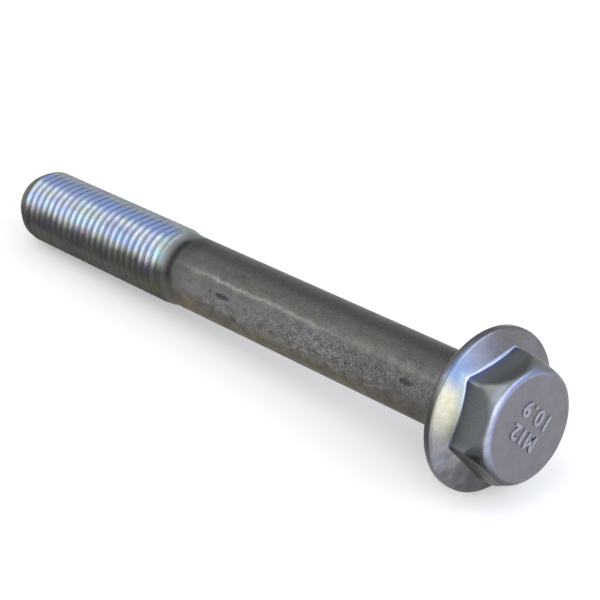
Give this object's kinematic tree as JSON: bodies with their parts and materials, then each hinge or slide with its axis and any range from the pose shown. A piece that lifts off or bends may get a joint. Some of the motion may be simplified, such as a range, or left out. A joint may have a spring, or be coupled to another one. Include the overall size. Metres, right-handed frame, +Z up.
{
  "type": "flange bolt",
  "caption": "Hexagon flange bolt with a long reduced plain shank, a fine thread at its point, a conical flange with a rolled rim and a turned crown.",
  "frame": {"origin": "on the floor, under the middle of the bolt's bounding box, as it lies on its flange rim and the end of its thread", "axes": "+X along the bolt as it lies, from the point to the head; +Z up; the bolt's own axis lies in the XZ plane and rises 3.27 degrees towards the head"},
  "size_m": [0.1084, 0.023, 0.023],
  "materials": {
    "coated_steel": "zinc coated steel, satin grey with a faint blue and straw tint, brighter on the rolled thread"
  },
  "bodies": {
    "root": {"flange_bolt": "coated_steel"}
  },
  "joints": []
}
